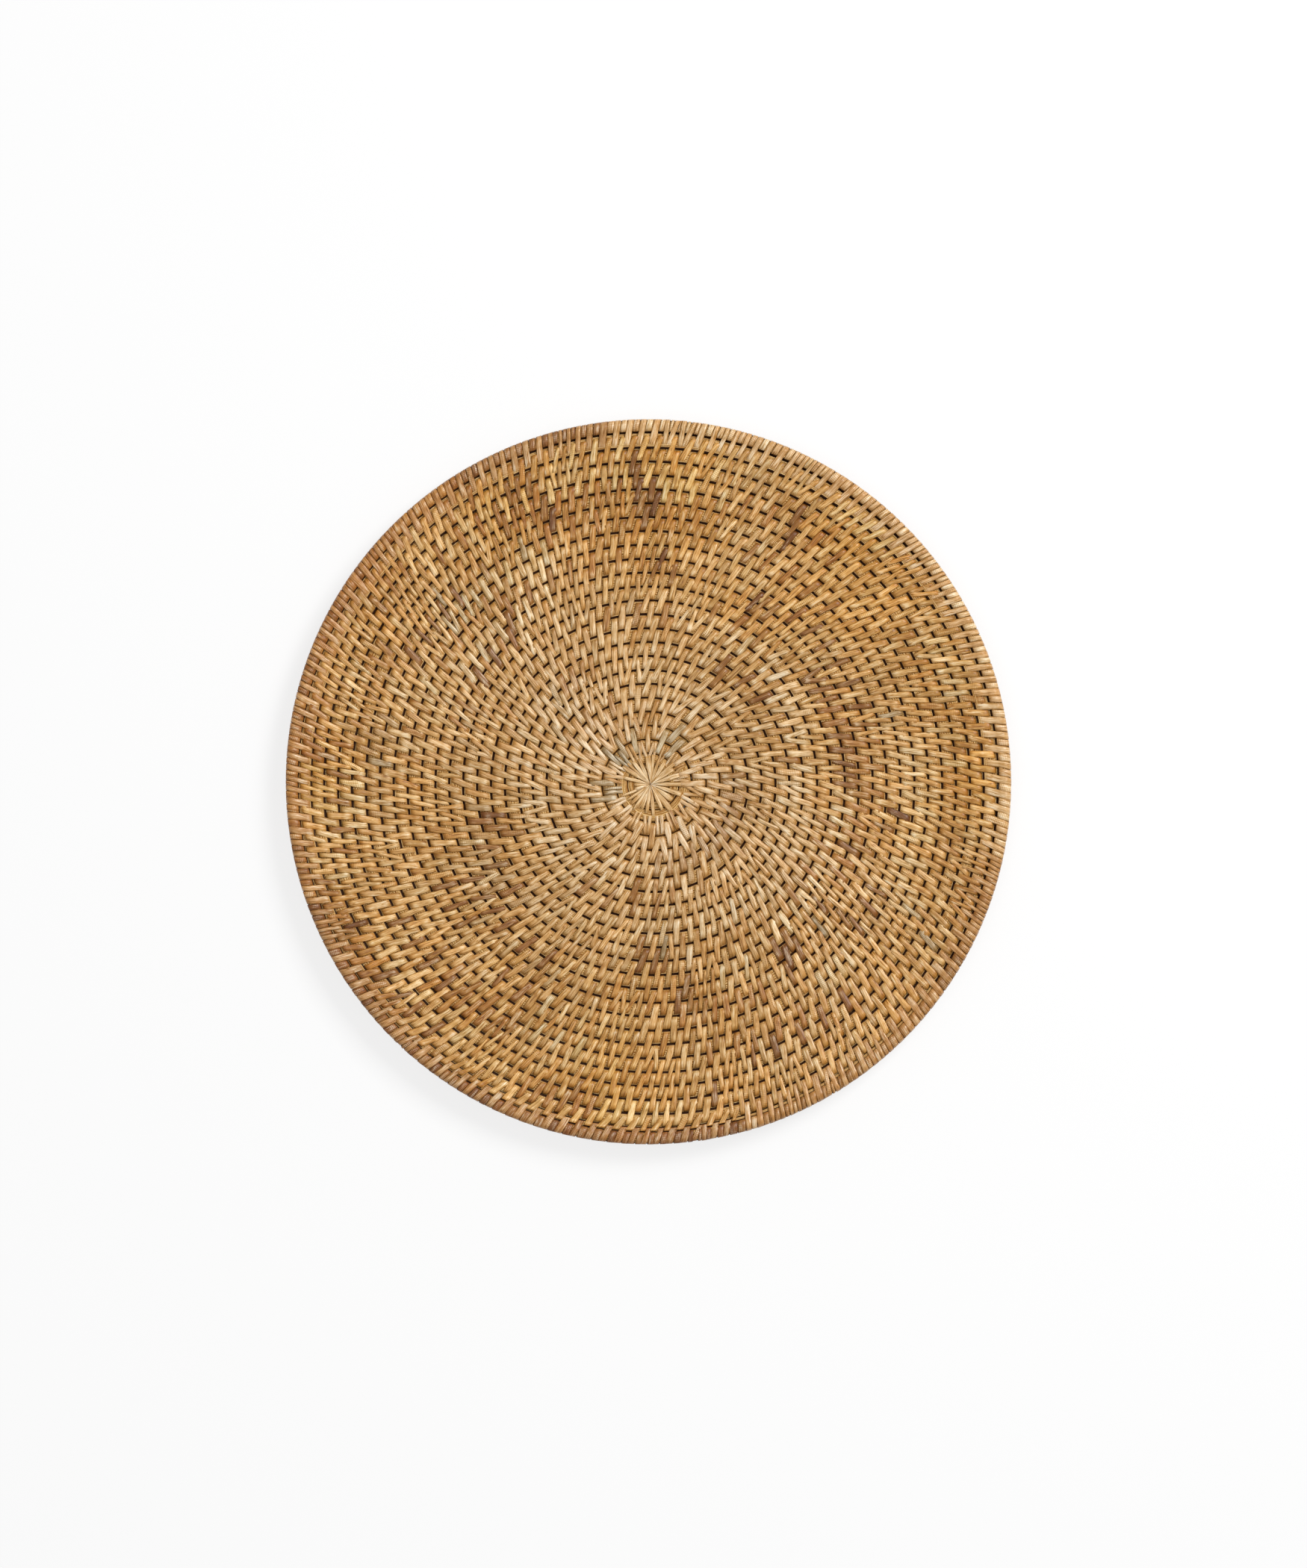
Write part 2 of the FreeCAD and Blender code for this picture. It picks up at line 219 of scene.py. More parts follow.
def lay_stitches():
    """Outer way, inner way and shift of each stitch, and the same for the rim's stitches."""
    dice = random.Random(LAYING_SEED)
    ends = [STAR_WAY + 2 * number / STAR_STRIPS for number in range(STAR_STRIPS)]
    stitches = [(way, None, 0) for way in ends]
    rim = []
    reading = 0
    while ends[reading] < TAIL_END and reading + 1 < len(ends):
        first, second = ends[reading], ends[reading + 1]
        reading += 1
        half_turn_length = pi * out_from_middle((first + second) / 2)
        gap = (second - first) * half_turn_length
        fork = gap > STITCH_SPACING * dice.uniform(*WIDE_GAP)
        early = min(1, (first / 2 - START_COIL_TURNS) / START_TURNS)
        for share, spread in FORK if fork else SINGLE:
            inner = first + (second - first) * share
            shift = LEAN_SHIFT * early + FORK_SHIFT * spread
            if inner >= TAIL_END - 2:
                rim.append((None, inner, shift))
                continue
            outer = inner + 2 - shift / half_turn_length
            ends.append(outer)
            stitches.append((outer, inner, shift))
    return stitches, rim


def strip_widths(laid):
    """The width of each stitch's strip at its outer and its inner end, from the room there."""
    marks = []
    for index, stitch in enumerate(laid):
        marks += [(way, index, end) for end, way in enumerate(stitch[:2]) if way is not None]
    marks.sort()
    widths = [[LEAST_WIDTH, LEAST_WIDTH] for _ in laid]
    for before, (way, index, end), after in zip(marks, marks[1:], marks[2:]):
        room = (after[0] - before[0]) / 2 * pi * out_from_middle(way) * LEAN_COSINE * STRIP_FIT
        widths[index][end] = min(max(room, LEAST_WIDTH), MOST_WIDTH)
    return widths


# Node trees.


def add(tree, kind, *values, named=None, out=0, **settings):
    """Adds a node with its settings, gives or links its inputs, and returns one of its outputs.

    A kind goes by its short name, with its operation after it if it has one. None leaves an input
    as it is. A Mix node's sockets share names, so they go by number: inputs 2 and 3 and output 0
    for numbers, 4 and 5 and 1 for vectors, and 6 and 7 and 2 for colours.
    """
    kind, *operation = kind.split()
    family = "ShaderNode" if hasattr(bpy.types, "ShaderNode" + kind) else "GeometryNode"
    node = tree.nodes.new(family + kind)
    if operation:
        node.operation = operation[0]
    for key, value in settings.items():
        setattr(node, key, value)
    for key, value in [*enumerate(values), *(named or {}).items()]:
        if isinstance(value, bpy.types.NodeSocket):
            tree.links.new(value, node.inputs[key])
        elif value is not None:
            node.inputs[key].default_value = value
    return node.outputs[out]


def drawn_out(node, value, power):
    """A value between -1 and 1, drawn towards those ends by a power below one."""
    size = node("Math ABSOLUTE", value)
    size = node("Math POWER", size, power)
    sign = node("Math SIGN", value)
    return node("Math MULTIPLY", size, sign)


SOCKETS = {"count": "NodeSocketInt", "level": "NodeSocketInt", "point": "NodeSocketVector"}


def shape_tree(name, sizes):
    """A geometry tree with a named input for each size, a mesh in, and a mesh out."""
    tree = bpy.data.node_groups.new(name, "GeometryNodeTree")
    tree.interface.new_socket("Mesh", in_out="INPUT", socket_type="NodeSocketGeometry")
    for label in sizes:
        kind = SOCKETS.get(label.split()[-1], "NodeSocketFloat")
        tree.interface.new_socket(label, in_out="INPUT", socket_type=kind)
    tree.interface.new_socket("Material", in_out="INPUT", socket_type="NodeSocketMaterial")
    tree.interface.new_socket("Mesh", in_out="OUTPUT", socket_type="NodeSocketGeometry")
    given = tree.nodes.new("NodeGroupInput").outputs
    return tree, list(given)[:-1], tree.nodes.new("NodeGroupOutput").inputs[0]


def grow(name, seeds, tree, **values):
    """Runs a tree on a mesh and keeps what it makes as a plain mesh."""
    source = bpy.data.objects.new(name + "_seeds", seeds)
    modifier = source.modifiers.new("shape", "NODES")
    modifier.node_group = tree
    for item in tree.interface.items_tree:
        key = item.name.replace(" ", "_").lower()
        if item.in_out == "INPUT" and key in values:
            modifier[item.identifier] = values[key]
    show(source)
    graph = bpy.context.evaluated_depsgraph_get()
    mesh = bpy.data.meshes.new_from_object(source.evaluated_get(graph), depsgraph=graph)
    bpy.data.objects.remove(source)
    piece = bpy.data.objects.new(name, mesh)
    show(piece)
    mesh.name = name
    return piece


FIELDS = {1: ("FLOAT", "value"), 3: ("FLOAT_VECTOR", "vector"), 4: ("FLOAT_COLOR", "color")}


def seed_mesh(name, points, edges=(), **columns):
    """Loose points, or a line of them, that carry one attribute for each column."""
    mesh = bpy.data.meshes.new(name)
    mesh.from_pydata(points, edges, [])
    for key, rows in columns.items():
        flat = np.array(rows, np.float32).ravel()
        kind, field = FIELDS[len(flat) // len(rows)]
        mesh.attributes.new(key, kind, "POINT").data.foreach_set(field, flat)
    return mesh


# A strip pulled round two cores. The tree makes one closed ring with a flat six-sided section,
# puts it on every stitch, and then pulls each ring round that stitch's own two cores.

RING_FIELDS = ("side", "sine", "cosine", "wave", "depth")
ROW_FIELDS = ("outer", "inner", "inward", "lift", "along", "radii", "halves")
RAIL_RADIUS = 10  # any will do, because each point of the ring is put in its own place
SECTION_POINTS = 6
CORNER_DRAW = 0.2  # draws the section's corners outwards, so that it is flat
WANDER_SCALE = 0.16  # a strip's edges wander over about 6 mm
SWELL = (0.5, 0.75)  # and its width varies between three quarters and five quarters
HUB_LIGHT = (18, 55, 0.7, 0)  # near the middle a strip's height counts so much more


def strip_tree():
    """The tree for every kind of strip. Each point carries its cores, its run and its widths."""
    sizes = ("Thickness", "Slack", "Dip", "Wobble", "Rise", "Wedge", "Hub point", "Open side",
             "Round count", "Finer level")
    tree, given, result = shape_tree("peel_strip", sizes)
    node = partial(add, tree)
    mesh, thickness, slack, dip, wobble, rise, wedge, hub, open_side, count, finer, material = given
    # The ring's own line: half its points go round each core, a little past half way, so that the
    # strip dips between the two.
    half = node("Math DIVIDE", count, 2)
    rail = node("CurvePrimitiveCircle", named={"Resolution": count, "Radius": RAIL_RADIUS})
    index = node("InputIndex")
    place = node("Math DIVIDE", index, half)
    side = node("Math FLOOR", place)
    step = node("Math MODULO", index, half)
    span = node("Math MULTIPLY_ADD", dip, 2, pi)
    steps = node("Math SUBTRACT", half, 1)
    each = node("Math DIVIDE", span, steps)
    begin = node("Math MULTIPLY_ADD", dip, -1, -pi)
    turned = node("Math MULTIPLY_ADD", side, pi, begin)
    angle = node("Math MULTIPLY_ADD", step, each, turned)
    sine = drawn_out(node, node("Math SINE", angle), SQUARENESS)
    cosine = drawn_out(node, node("Math COSINE", angle), SQUARENESS)
    wave = node("Math COSINE", node("Math MULTIPLY", angle, BUMPS_ROUND))
    for key, value in (("side", side), ("sine", sine), ("cosine", cosine), ("wave", wave)):
        rail = node("StoreNamedAttribute", rail, None, key, value)
    # The section: a circle of six points, four of them drawn outwards as the corners of a band.
    ring = node("CurvePrimitiveCircle", named={"Resolution": SECTION_POINTS, "Radius": 1})
    turn = node("Math MULTIPLY", index, 2 * pi / SECTION_POINTS)
    across = drawn_out(node, node("Math COSINE", turn), CORNER_DRAW)
    above = node("Math SINE", turn)
    depth = node("Math MULTIPLY_ADD", above, 1 / sqrt(3), 0.5)
    for key, value in (("across", across), ("depth", depth)):
        ring = node("StoreNamedAttribute", ring, None, key, value)
    band = node("CurveToMesh", rail, ring)
    band = node("SubdivideMesh", band, finer)
    bands = node("InstanceOnPoints", mesh, named={"Instance": band})
    bands = node("RealizeInstances", bands)
    read = {}
    for key in (*RING_FIELDS, "across", "grain_start"):
        read[key] = node("InputNamedAttribute", key)
    for key in ROW_FIELDS:
        read[key] = node("InputNamedAttribute", key, data_type="FLOAT_VECTOR")
    # Where on its ring a point lies.
    centre = node("Mix", read["side"], named={4: read["outer"], 5: read["inner"]},
                  data_type="VECTOR", out=1)
    radii = node("SeparateXYZ", read["radii"]).node.outputs
    halves = node("SeparateXYZ", read["halves"]).node.outputs
    radius = node("Mix", read["side"], named={2: radii[0], 3: radii[1]})
    width = node("Mix", read["side"], named={2: halves[0], 3: halves[1]})
    radius = node("Math MULTIPLY_ADD", read["wave"], radii[2], radius)
    for room in (slack, halves[2]):
        radius = node("Math ADD", radius, room)
    radius = node("Math MULTIPLY_ADD", read["depth"], thickness, radius)
    inward_way = node("Math MULTIPLY", read["sine"], radius)
    lift_way = node("Math MULTIPLY", read["cosine"], radius)
    # Strips are cut by hand, so their edges wander and their faces lie a little uneven.
    seed = node("CombineXYZ", read["grain_start"], inward_way, lift_way)
    seed = node("VectorMath ADD", seed, centre)
    drift = node("TexNoise", seed, named={"Scale": WANDER_SCALE, "Detail": 1}, out="Color")
    drifts = node("SeparateXYZ", drift).node.outputs
    sway = node("Math MULTIPLY", node("Math SUBTRACT", drifts[0], 0.5), wobble)
    bulge = node("Math MULTIPLY", node("Math SUBTRACT", drifts[1], 0.5), rise)
    swell = node("Math MULTIPLY_ADD", drifts[2], *SWELL)
    width = node("Math MULTIPLY", width, swell)
    place = centre
    raised = node("Math ADD", lift_way, bulge)
    for direction, way in (("inward", inward_way), ("lift", raised)):
        reach = node("VectorMath SCALE", read[direction], named={"Scale": way})
        place = node("VectorMath ADD", place, reach)
    # Near the middle of the star there is only a wedge of room for each strip.
    from_hub = node("VectorMath SUBTRACT", place, hub)
    from_hub = node("VectorMath MULTIPLY", from_hub, (1, 1, 0))
    from_hub = node("VectorMath LENGTH", from_hub, out="Value")
    room = node("Math MULTIPLY", from_hub, wedge)
    width = node("Math MINIMUM", width, room)
    along_way = node("Math MULTIPLY_ADD", read["across"], width, sway)
    reach = node("VectorMath SCALE", read["along"], named={"Scale": along_way})
    place = node("VectorMath ADD", place, reach)
    # The grain follows the strip: its way along the strip, across it, and its height on the coil,
    # measured as if every coil were as thick as the field's.
    middle = node("Mix", 0.5, named={4: read["outer"], 5: read["inner"]}, data_type="VECTOR", out=1)
    offset = node("VectorMath SUBTRACT", place, middle)
    length_way = node("VectorMath DOT_PRODUCT", offset, read["inward"], out="Value")
    across_way = node("Math MULTIPLY", read["across"], width)
    # At the rim a strip's outer side lies open, and is kept as free of painted shade as its top.
    open_here = node("Math LESS_THAN", read["sine"], 0)
    open_here = node("Math MULTIPLY", open_here, open_side)
    height = node("Math ABSOLUTE", read["cosine"])
    height = node("Math MAXIMUM", height, open_here)
    # Round the middle the turns lie closer, and less of a strip is in shade.
    closer = node("MapRange", from_hub, *HUB_LIGHT)
    height = node("Math MULTIPLY_ADD", height, FULL_HEIGHT, closer)
    grain = node("CombineXYZ", length_way, across_way, height)
    bands = node("StoreNamedAttribute", bands, None, "grain", grain, data_type="FLOAT_VECTOR")
    # Where the basket stands, its strips are worn flat.
    place = node("VectorMath MAXIMUM", place, STANDING)
    place = node("VectorMath SCALE", place, named={"Scale": MM})
    bands = node("SetPosition", bands, None, place)
    bands = node("FlipFaces", bands)
    bands = node("SetShadeSmooth", bands)
    bands = node("SetMaterial", bands, None, material)
    for key in RING_FIELDS + ROW_FIELDS:
        bands = node("RemoveAttribute", bands, named={"Name": key})
    tree.links.new(bands, result)
    return tree


# The bundle. Fine splints lie side by side round it, so its section is a ring of small ridges,
# and between the stitches it spreads until it touches its neighbours.

LUMP_SCALE = 180  # a metre's noise, so that a splint bends about every 6 mm


def bundle_tree():
    """Sweeps a ridged ring along a line of points that carry its radius, side room and run."""
    tree, given, result = shape_tree("splint_bundle", ("Groove", "Lumps", "Splint count"))
    mesh, groove, lumps, count, material = given
    node = partial(add, tree)
    line = node("MeshToCurve", mesh)
    line = node("SetCurveNormal", line, mode="Z_UP")
    tangent = node("InputTangent")
    sideways = node("VectorMath CROSS_PRODUCT", tangent, (0, 0, 1))
    sideways = node("VectorMath NORMALIZE", sideways)
    line = node("StoreNamedAttribute", line, None, "sideways", sideways, data_type="FLOAT_VECTOR")
    radius = node("InputNamedAttribute", "section")
    radius = node("Math MULTIPLY", radius, MM)
    # The ring has two points for each splint, one on its crown and one in the groove beside it.
    twice = node("Math MULTIPLY", count, 2)
    ring = node("CurvePrimitiveCircle", named={"Resolution": twice, "Radius": 1})
    index = node("InputIndex")
    odd = node("Math MODULO", index, 2)
    shrink = node("Math MULTIPLY", odd, groove)
    shrink = node("Math SUBTRACT", 1, shrink)
    spots = node("SeparateXYZ", node("InputPosition")).node.outputs
    aside = drawn_out(node, spots[0], SQUARENESS)
    above = drawn_out(node, spots[1], SQUARENESS)
    beside = node("Math DIVIDE", index, count)
    beside = node("Math MULTIPLY", beside, pi)
    beside = node("Math ABSOLUTE", node("Math COSINE", beside))
    splint = node("Math MULTIPLY", index, 0.5)
    fields = (("aside", aside), ("groove", odd), ("beside", beside), ("splint", splint))
    for key, value in fields:
        ring = node("StoreNamedAttribute", ring, None, key, value)
    above = node("Math MULTIPLY", above, BUNDLE_SWELL)
    spot = node("CombineXYZ", aside, above, 0)
    spot = node("VectorMath SCALE", spot, named={"Scale": shrink})
    ring = node("SetPosition", ring, None, spot)
    rope = node("CurveToMesh", line, ring, named={"Scale": radius, "Fill Caps": True})
    # Between the stitches the bundle spreads sideways until it meets its neighbours.
    aside = node("InputNamedAttribute", "aside")
    sideways = node("InputNamedAttribute", "sideways", data_type="FLOAT_VECTOR")
    room = node("InputNamedAttribute", "room")
    reach = node("Math MULTIPLY", aside, room)
    reach = node("Math MULTIPLY", reach, MM)
    reach = node("VectorMath SCALE", sideways, named={"Scale": reach})
    rope = node("SetPosition", rope, named={"Offset": reach})
    # Splints bend a little in and out as they run.
    spot = node("InputPosition")
    lump = node("TexNoise", spot, named={"Scale": LUMP_SCALE, "Detail": 1}, out="Color")
    lump = node("VectorMath SUBTRACT", lump, (0.5, 0.5, 0.5))
    lump = node("VectorMath SCALE", lump, named={"Scale": lumps})
    rope = node("SetPosition", rope, named={"Offset": lump})
    rope = node("RealizeInstances", rope)
    rope = node("SetShadeSmooth", rope, None, False)
    rope = node("SetMaterial", rope, None, material)
    tree.links.new(rope, result)
    return tree


# Materials.


def linear(code, alpha=1):
    """An sRGB hex colour as linear light."""
    channels = [int(code[place : place + 2], 16) / 255 for place in (0, 2, 4)]
    return (*[c / 12.92 if c <= 0.04045 else ((c + 0.055) / 1.055) ** 2.4 for c in channels], alpha)


def new_material(name):
    """A material with only a Principled shader, and what adds a node to it."""
    material = bpy.data.materials.new(name)
    material.use_nodes = True
    tree = material.node_tree
    tree.nodes.clear()
    shader = tree.nodes.new("ShaderNodeBsdfPrincipled")
    output = tree.nodes.new("ShaderNodeOutputMaterial")
    tree.links.new(shader.outputs[0], output.inputs[0])
    return material, partial(add, tree), shader


SHADE_TOP = 1.25  # the lightest a strip gets, against its plain tone
DEEP_SHADE = (0.03, 0.009, 0.002, 1)
HALF_SHADE = (0.53, 0.36, 0.155, 1)


def darkened(node, tone, value, *parts):
    """A tone darkened by all these shares of light together, and what is left of the light.

    Where little light gets in, rattan turns a deep warm brown.
    """
    for part in (*parts, 1 / SHADE_TOP):
        value = node("Math MULTIPLY", value, part)
    shade = node("ValToRGB", value)
    elements = shade.node.color_ramp.elements
    elements[0].color = DEEP_SHADE
    elements.new(0.5).color = HALF_SHADE
    colour = node("VectorMath MULTIPLY", tone, shade)
    return node("VectorMath SCALE", colour, named={"Scale": SHADE_TOP}), value


# The patterns of the peel. A map's four numbers are two values of the pattern, and the share of
# light, or of a colour, that it gives there.
FIBRE_STRETCH = (0.08, 1, 0.08)  # fibres about 0.5 mm apart run some 12 mm
FIBRE_NOISE = {"Scale": 1.7, "Detail": 3, "Roughness": 0.65}
FIBRE_LIGHT = (0.3, 0.7, 0.64, 1.26)
FIBRE_ROUGHNESS = (0.3, 0.7, 0.48, 0.3)
CRACK_STRETCH = (0.05, 1, 0.05)
CRACK_NOISE = {"Scale": 0.9, "Detail": 1, "Roughness": 0.4}
CRACK_LIGHT = (0.008, 0.035, 0.55, 1)
PATCH_NOISE = {"Scale": 0.14, "Detail": 3, "Roughness": 0.6}  # a tone changes over about 8 mm
PATCH_LIGHT = (0.3, 0.7, 0.82, 1.16)
# The next three maps paint shade: towards a strip's sides, where it crosses between turns, and low
# on the coil.
SIDE_PAINTED_SHADE = (0.2, 1, 1, 0.5)
CROSSING_PAINTED_SHADE = (3.1, 3.6, 0.84, 1)
LOW_PAINTED_SHADE = (1.4, 2.5, 0.01, 1)
INWARD_PALING = (-6.5, -1, 0.86, 1.06)
WRINKLE_SPACING = 1
WRINKLE_BEND = 4  # how far the fibres shift a wrinkle, as an angle of its wave
WRINKLE_FROM = 0.3  # only the top of the wave is dark, so the wrinkle is a thin line
WRINKLE_LIGHT = (0.44, 0.54, 0, -0.35)  # only some patches have wrinkles
# Painted highlight: how much of a pale cream goes into the lightest tones, and that cream.
PAINTED_HIGHLIGHT_SHARE = (0.76, 1.1, 0, 0.66)
PAINTED_HIGHLIGHT_TONE = linear("eee0c6")
FLECK_NOISE = {"Scale": 1.1, "Detail": 4, "Roughness": 0.7}  # flecks of 0.3 to 0.8 mm
FLECK_SHARE = (0.68, 0.76, 0, 0.75)
FLECK_TONE = linear("4a2a16")
FACE_ROUND = -2
PEEL_BUMP = {"Strength": 0.6, "Distance": 0.00012}


def wire(shader, colour, rough, bump):
    """Links what a material has worked out to its shader."""
    for key, value in (("Base Color", colour), ("Roughness", rough), ("Normal", bump)):
        shader.id_data.links.new(value, shader.inputs[key])


def peel_material():
    """Split rattan peel, air dried: the stem's own glossy skin, in one tone a strip, with fine
    lengthwise grain and cracks, painted shade towards its sides and where it dives, a painted
    highlight on its lightest fibres, and dark flecks."""
    material, node, shader = new_material("rattan_peel_air_dried")
    tone = node("Attribute", attribute_name="tone")
    grain = node("Attribute", attribute_name="grain", out="Vector")
    start, across, wrinkled = (
        node("Attribute", attribute_name=key, out="Fac")
        for key in ("grain_start", "across", "wrinkled")
    )
    offset = node("CombineXYZ", start, start, start)
    shifted = node("VectorMath ADD", grain, offset)
    stretched = node("VectorMath MULTIPLY", shifted, FIBRE_STRETCH)
    fibres = node("TexNoise", stretched, named=FIBRE_NOISE)
    streak = node("MapRange", fibres, *FIBRE_LIGHT)
    # Two or three thin dark cracks run the length of a strip.
    lanes = node("VectorMath MULTIPLY", shifted, CRACK_STRETCH)
    cracks = node("TexNoise", lanes, named=CRACK_NOISE)
    crack = node("Math ABSOLUTE", node("Math SUBTRACT", cracks, 0.5))
    crack = node("MapRange", crack, *CRACK_LIGHT)
    # Slow change of tone along and between strips.
    patches = node("TexNoise", shifted, named=PATCH_NOISE)
    patch = node("MapRange", patches, *PATCH_LIGHT)
    # Painted shade: the strip is darker towards its sides.
    side_shade = node("Math ABSOLUTE", across)
    crown = node("Math POWER", side_shade, 2)
    side_shade = node("Math POWER", side_shade, 4)
    side_shade = node("MapRange", side_shade, *SIDE_PAINTED_SHADE)
    # Painted shade: darker low on the coil and where the strip crosses from one turn to the next.
    length_way, _, height = node("SeparateXYZ", grain).node.outputs
    crossing_shade = node("MapRange", height, *CROSSING_PAINTED_SHADE)
    low_shade = node("MapRange", height, *LOW_PAINTED_SHADE)
    # The inner end of a stitch is paler than its outer end.
    paler_inwards = node("MapRange", length_way, *INWARD_PALING)
    # Where some strips were bent sharply, short dark wrinkles cross the skin.
    phase = node("Math MULTIPLY_ADD", length_way, 2 * pi / WRINKLE_SPACING, start)
    phase = node("Math MULTIPLY_ADD", fibres, WRINKLE_BEND, phase)
    wrinkle = node("Math SINE", phase)
    wrinkle = node("MapRange", wrinkle, WRINKLE_FROM, 1, 0, wrinkled)
    creased = node("MapRange", patches, *WRINKLE_LIGHT)
    wrinkle = node("Math MULTIPLY_ADD", wrinkle, creased, 1)
    shares = (streak, patch, crack, side_shade, crossing_shade, low_shade, paler_inwards, wrinkle)
    colour, light = darkened(node, tone, *shares)
    # Painted highlight: the lightest tones are mixed towards a pale cream, so they look paler, not
    # just lighter.
    painted_highlight = node("MapRange", light, *PAINTED_HIGHLIGHT_SHARE)
    colour = node("Mix", painted_highlight, named={6: colour, 7: PAINTED_HIGHLIGHT_TONE}, data_type="RGBA", out=2)
    # Flecks of outer bark.
    flecks = node("TexNoise", shifted, named=FLECK_NOISE)
    fleck = node("MapRange", flecks, *FLECK_SHARE)
    colour = node("Mix", fleck, named={6: colour, 7: FLECK_TONE}, data_type="RGBA", out=2)
    rough = node("MapRange", fibres, *FIBRE_ROUGHNESS)
    # A strip is the outside of a stem, so its face is a little round.
    relief = node("Math ADD", fibres, crack)
    relief = node("Math ADD", relief, wrinkle)
    relief = node("Math MULTIPLY_ADD", crown, FACE_ROUND, relief)
    bump = node("Bump", named={**PEEL_BUMP, "Height": relief})
    wire(shader, colour, rough, bump)
    return material


# The patterns of the splints, with maps as above.
SPLINT_SHINE = 0.2
SPLINT_RUN = 0.07  # along the bundle the tone changes over about 15 mm
CRUMB_RUN = 2
SPLINT_NOISE = {"Scale": 1, "Detail": 2}
SPLINT_TONES = ((0.32, linear("bb8c4a")), (0.62, linear("f0d6a0")))
CRUMB_LIGHT = (0.3, 0.7, 0.78, 1.15)
CRUMB_ROUGHNESS = (0.3, 0.7, 0.75, 0.6)
# Painted shade in the grooves between splints.
GROOVE_PAINTED_SHADE = (0.3, 1, 1, 0.4)
HUB_VALLEY = (0.018, 0.055, 0.07, 0)  # round the middle, in metres, the valleys are narrower
VALLEY_LIGHT = (0.72, 0.84, 1, 0.01)
SPLINT_BUMP = {"Strength": 0.4, "Distance": 0.0001}


def splint_material():
    """Rattan core splints, split and dried: pale matt pith, with painted shade in the groove
    between neighbours.
    """
    material, node, shader = new_material("rattan_core_splint")
    shader.inputs["Specular IOR Level"].default_value = SPLINT_SHINE
    run, splint, groove, beside = (
        node("Attribute", attribute_name=key, out="Fac")
        for key in ("run", "splint", "groove", "beside")
    )
    # The tone changes slowly along the bundle, and across it from splint to splint.
    length = node("Math MULTIPLY", run, SPLINT_RUN)
    place = node("CombineXYZ", length, splint, 0)
    tones = node("TexNoise", place, named=SPLINT_NOISE)
    tone = node("ValToRGB", tones)
    for element, (position, colour) in zip(tone.node.color_ramp.elements, SPLINT_TONES):
        element.position, element.color = position, colour
    fine = node("Math MULTIPLY", run, CRUMB_RUN)
    place = node("CombineXYZ", fine, splint, 0)
    crumbs = node("TexNoise", place, named=SPLINT_NOISE)
    light = node("MapRange", crumbs, *CRUMB_LIGHT)
    # Painted shade in the groove between two splints.
    deep = node("MapRange", groove, *GROOVE_PAINTED_SHADE)
    # Almost no light reaches the valley between two turns.
    spot = node("TexCoord", out="Object")
    spot = node("VectorMath SUBTRACT", spot, tuple(SPIRAL_MIDDLE * MM))
    from_hub = node("VectorMath LENGTH", spot, out="Value")
    closer = node("MapRange", from_hub, *HUB_VALLEY)
    beside = node("Math SUBTRACT", beside, closer)
    valley = node("MapRange", beside, *VALLEY_LIGHT)
    colour, _ = darkened(node, tone, light, deep, valley)
    rough = node("MapRange", crumbs, *CRUMB_ROUGHNESS)
    bump = node("Bump", named={**SPLINT_BUMP, "Height": crumbs})
    wire(shader, colour, rough, bump)
    return material


PEEL = peel_material()
SPLINT = splint_material()
STRIP = strip_tree()
BUNDLE = bundle_tree()

# Tones of the peel as it grew: hex colour, and how often a length of that tone is taken up.
FIELD_TONES = (
    ("e6c694", 24), ("dfbb82", 22), ("d6ae70", 18), ("cba05e", 12), ("edd6ae", 10),
    ("bc8e50", 6), ("d0b080", 3), ("a37844", 3), ("dcc8a2", 1),
)
DARK_TONES = (("9c7038", 3), ("b08448", 3), ("865a28", 2))
LIGHT_TONES = FIELD_TONES[:5]
STAR_TONES = (("f4dcb4", 3), ("ecd0a2", 2), ("dfbf8c", 2))
WEATHERED_TONES = (("c2b090", 3), ("b0a082", 2), ("cdbc9a", 2))
RIM_TONES = (("e9c590", 6), ("deb47c", 4), ("cfa268", 2))
TONE_SEED = 31
tone_dice = random.Random(TONE_SEED)


def pick_tone(tones):
    """One tone, by how often it is used."""
    codes, weights = zip(*tones)
    return linear(tone_dice.choices(codes, weights)[0])


PALE_REACH = 42  # the strips round the star are all of the paler sort
PALE_END = 110
PALE_GREEN, PALE_BLUE = 1.01, 1.12
# Where the greyed stitches are, mostly round the star's upper left side: nearest and farthest,
# first and last angle, and their share of the stitches there.
WEATHERED_PLACES = ((17, 32, 55, 205, 0.34), (50, 72, 32, 50, 0.25))
WEATHERED_ELSEWHERE = 0.004


def weathered(angle, distance):
    """Whether a stitch here is one of the greyed ones."""
    share = WEATHERED_ELSEWHERE
    for nearest, farthest, first, last, here in WEATHERED_PLACES:
        if nearest < distance < farthest and first < angle < last:
            share = here
    return tone_dice.random() < share


# Where darker peel was taken up: angle and distance from the spiral's middle, and its reach.
DARK_PLACES = (
    (12, 80, 9), (18, 119, 7), (42, 82, 10), (55, 74, 7), (57, 118, 10), (63, 155, 10),
    (63, 171, 6), (87, 118, 8), (92, 156, 10), (93, 175, 6), (112, 158, 7), (114, 180, 7),
    (130, 124, 7), (146, 149, 7), (149, 62, 7), (175, 184, 10), (195, 85, 8), (205, 184, 8),
    (229, 89, 8), (255, 178, 6), (258, 64, 8), (270, 93, 12), (279, 119, 6), (280, 174, 6),
    (308, 122, 12), (323, 123, 10), (344, 120, 7), (351, 136, 6),
)
DARK_SHARE = 0.5
